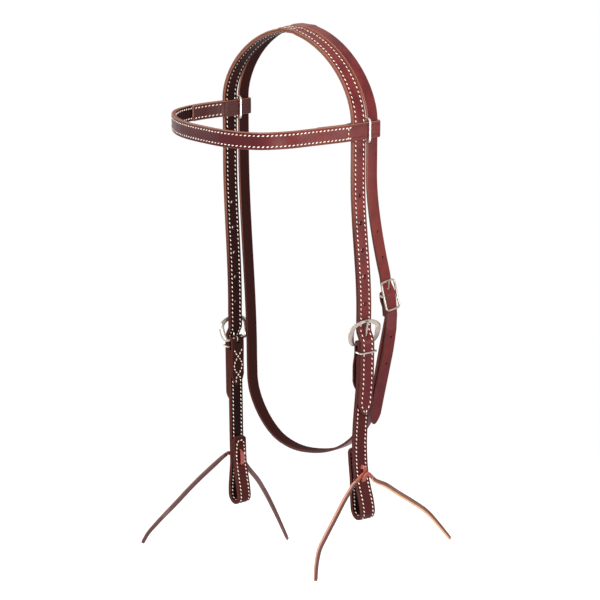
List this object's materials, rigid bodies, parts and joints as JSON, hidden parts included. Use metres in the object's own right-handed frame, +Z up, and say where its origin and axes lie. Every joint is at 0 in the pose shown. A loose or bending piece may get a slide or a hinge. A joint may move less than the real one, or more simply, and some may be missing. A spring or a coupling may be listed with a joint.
{
  "type": "western headstall",
  "caption": "Stitched leather western headstall with browband, horseshoe cheek buckles, throatlatch and laced bit loops.",
  "frame": {"origin": "underside of the crown strap at the poll, the top middle of the arch", "axes": "+Z up, browband towards -Y, the horse's near (left) side at +X"},
  "size_m": [0.2688, 0.2239, 0.5713],
  "materials": {
    "browband_lining": "burgundy harness leather, oiled, cream stitching",
    "browband_outer": "burgundy harness leather, oiled, cream stitching",
    "browband_ring_near": "nickel plated, bright",
    "browband_ring_off": "nickel plated, bright",
    "crown_lining": "burgundy harness leather, oiled, cream stitching",
    "crown_outer": "burgundy harness leather, oiled, cream stitching",
    "near_buckle_frame": "nickel plated, bright",
    "near_buckle_tongue": "nickel plated, bright",
    "near_cheek_lining": "burgundy harness leather, oiled, cream stitching",
    "near_cheek_outer": "burgundy harness leather, oiled, cream stitching",
    "near_keeper": "nickel plated, bright",
    "near_lace_tail_front": "saddle tan latigo lace, waxed",
    "near_lace_tail_rear": "saddle tan latigo lace, waxed",
    "near_lace_tie": "saddle tan latigo lace, waxed",
    "off_buckle_frame": "nickel plated, bright",
    "off_buckle_tongue": "nickel plated, bright",
    "off_cheek_lining": "burgundy harness leather, oiled, cream stitching",
    "off_cheek_outer": "burgundy harness leather, oiled, cream stitching",
    "off_keeper": "nickel plated, bright",
    "off_lace_tail_front": "saddle tan latigo lace, waxed",
    "off_lace_tail_rear": "saddle tan latigo lace, waxed",
    "off_lace_tie": "saddle tan latigo lace, waxed",
    "throat_buckle_frame": "nickel plated, bright",
    "throat_buckle_tongue": "nickel plated, bright",
    "throatlatch_strap": "burgundy harness leather, oiled, no stitching"
  },
  "bodies": {
    "headstall": {"crown_lining": "crown_lining", "crown_outer": "crown_outer", "near_cheek_lining": "near_cheek_lining", "near_cheek_outer": "near_cheek_outer", "near_lace_tail_front": "near_lace_tail_front", "near_lace_tail_rear": "near_lace_tail_rear", "near_lace_tie": "near_lace_tie", "off_cheek_lining": "off_cheek_lining", "off_cheek_outer": "off_cheek_outer", "off_lace_tail_front": "off_lace_tail_front", "off_lace_tail_rear": "off_lace_tail_rear", "off_lace_tie": "off_lace_tie", "throatlatch_strap": "throatlatch_strap"},
    "browband": {"browband_outer": "browband_outer", "browband_lining": "browband_lining"},
    "browband_ring_near": {"browband_ring_near": "browband_ring_near"},
    "browband_ring_off": {"browband_ring_off": "browband_ring_off"},
    "near_buckle": {"near_buckle_frame": "near_buckle_frame"},
    "off_buckle": {"off_buckle_frame": "off_buckle_frame"},
    "near_tongue": {"near_buckle_tongue": "near_buckle_tongue"},
    "off_tongue": {"off_buckle_tongue": "off_buckle_tongue"},
    "near_keeper": {"near_keeper": "near_keeper"},
    "off_keeper": {"off_keeper": "off_keeper"},
    "throat_buckle": {"throat_buckle_frame": "throat_buckle_frame"},
    "throat_tongue": {"throat_buckle_tongue": "throat_buckle_tongue"}
  },
  "joints": [
    {"name": "browband_slide", "type": "slide", "parent": "headstall", "child": "browband", "axis": [0, 0, 1], "range_m": [-0.026, 0]},
    {"name": "near_ring_play", "type": "slide", "parent": "browband", "child": "browband_ring_near", "axis": [0, 0, 1], "range_m": [-0.0014, 0.0014]},
    {"name": "off_ring_play", "type": "slide", "parent": "browband", "child": "browband_ring_off", "axis": [0, 0, 1], "range_m": [-0.0014, 0.0014]},
    {"name": "near_buckle_rock", "type": "hinge", "parent": "headstall", "child": "near_buckle", "pos_m": [0.09933, 0.0076, -0.292], "axis": [0.0698, 0.9976, -0.0052], "range_deg": [-0.4, 1]},
    {"name": "near_tongue_lift", "type": "hinge", "parent": "near_buckle", "child": "near_tongue", "pos_m": [0.09933, 0.0076, -0.292], "axis": [0.0698, 0.9976, -0.0052], "range_deg": [0, 0.8]},
    {"name": "near_keeper_slide", "type": "slide", "parent": "headstall", "child": "near_keeper", "axis": [0, 0.0052, 1], "range_m": [-0.0015, 0.0025]},
    {"name": "off_buckle_rock", "type": "hinge", "parent": "headstall", "child": "off_buckle", "pos_m": [-0.09933, 0.007, -0.3315], "axis": [0, -1, -0.0087], "range_deg": [-0.4, 1]},
    {"name": "off_tongue_lift", "type": "hinge", "parent": "off_buckle", "child": "off_tongue", "pos_m": [-0.09933, 0.007, -0.3315], "axis": [0, -1, -0.0087], "range_deg": [0, 0.8]},
    {"name": "off_keeper_slide", "type": "slide", "parent": "headstall", "child": "off_keeper", "axis": [0, -0.0087, 1], "range_m": [-0.0015, 0.0025]},
    {"name": "throat_buckle_rock", "type": "hinge", "parent": "headstall", "child": "throat_buckle", "pos_m": [0.09785, 0.0392, -0.2485], "axis": [0, 0.9936, 0.1132], "range_deg": [-0.6, 0.6]},
    {"name": "throat_tongue_lift", "type": "hinge", "parent": "throat_buckle", "child": "throat_tongue", "pos_m": [0.09785, 0.0392, -0.2485], "axis": [0, 0.9936, 0.1132], "range_deg": [0, 0.8]}
  ]
}
